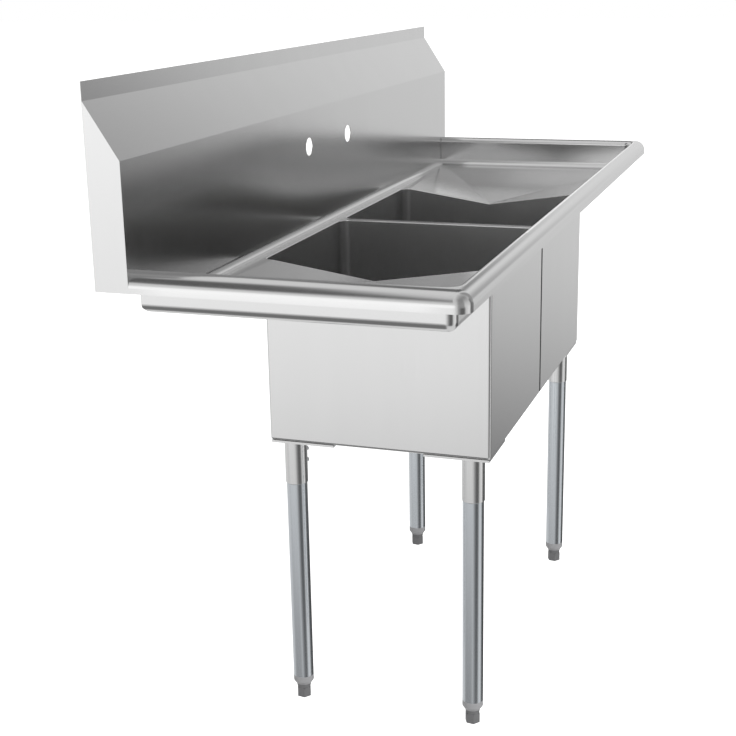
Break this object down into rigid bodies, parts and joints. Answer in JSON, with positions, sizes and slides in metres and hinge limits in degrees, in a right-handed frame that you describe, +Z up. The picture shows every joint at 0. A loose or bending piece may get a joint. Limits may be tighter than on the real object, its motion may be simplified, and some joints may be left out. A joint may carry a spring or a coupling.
{
  "type": "commercial kitchen sink",
  "caption": "Free-standing stainless kitchen sink with twin coved bowls between creased drainboards, a high splash with tap holes, tubular legs and levelling feet.",
  "frame": {"origin": "on the floor, under the middle of the overall box", "axes": "+X along the sink's length, +Y towards the wall, +Z up"},
  "size_m": [1.5748, 0.524, 1.111],
  "materials": {
    "stainless": "satin",
    "galvanised": "satin",
    "polished": "polished",
    "zinc": "satin",
    "rubber": "matte",
    "knob": "matte",
    "foot_grey": "matte"
  },
  "bodies": {
    "sink": {"backsplash": "stainless", "bowl_deck": "stainless", "end_cap_left": "stainless", "drainboard_left": "stainless", "stiffener_left": "stainless", "bowl_left": "stainless", "drain_body_left": "polished", "drain_gasket_left": "rubber", "drain_locknut_left": "zinc", "end_cap_right": "stainless", "drainboard_right": "stainless", "stiffener_right": "stainless", "bowl_right": "stainless", "drain_body_right": "polished", "drain_gasket_right": "rubber", "drain_locknut_right": "zinc", "gusset_front_left": "stainless", "leg_socket_front_left": "stainless", "set_screws_front_left": "zinc", "leg_front_left": "galvanised", "leg_plug_front_left": "foot_grey", "gusset_front_right": "stainless", "leg_socket_front_right": "stainless", "set_screws_front_right": "zinc", "leg_front_right": "galvanised", "leg_plug_front_right": "foot_grey", "gusset_rear_left": "stainless", "leg_socket_rear_left": "stainless", "set_screws_rear_left": "zinc", "leg_rear_left": "galvanised", "leg_plug_rear_left": "foot_grey", "gusset_rear_right": "stainless", "leg_socket_rear_right": "stainless", "set_screws_rear_right": "zinc", "leg_rear_right": "galvanised", "leg_plug_rear_right": "foot_grey"},
    "foot_front_left": {"foot_front_left": "foot_grey"},
    "foot_front_right": {"foot_front_right": "foot_grey"},
    "foot_rear_left": {"foot_rear_left": "foot_grey"},
    "foot_rear_right": {"foot_rear_right": "foot_grey"},
    "strainer_left": {"strainer_basket_left": "polished", "strainer_knob_left": "knob", "strainer_seal_left": "rubber"},
    "strainer_right": {"strainer_basket_right": "polished", "strainer_knob_right": "knob", "strainer_seal_right": "rubber"}
  },
  "joints": [
    {"name": "foot_screw_front_left", "type": "slide", "parent": "sink", "child": "foot_front_left", "axis": [0, 0, -1], "range_m": [0, 0.025]},
    {"name": "foot_screw_front_right", "type": "slide", "parent": "sink", "child": "foot_front_right", "axis": [0, 0, -1], "range_m": [0, 0.025]},
    {"name": "foot_screw_rear_left", "type": "slide", "parent": "sink", "child": "foot_rear_left", "axis": [0, 0, -1], "range_m": [0, 0.025]},
    {"name": "foot_screw_rear_right", "type": "slide", "parent": "sink", "child": "foot_rear_right", "axis": [0, 0, -1], "range_m": [0, 0.025]},
    {"name": "strainer_lift_left", "type": "slide", "parent": "sink", "child": "strainer_left", "axis": [0, 0, 1], "range_m": [0, 0.42]},
    {"name": "strainer_lift_right", "type": "slide", "parent": "sink", "child": "strainer_right", "axis": [0, 0, 1], "range_m": [0, 0.42]}
  ]
}
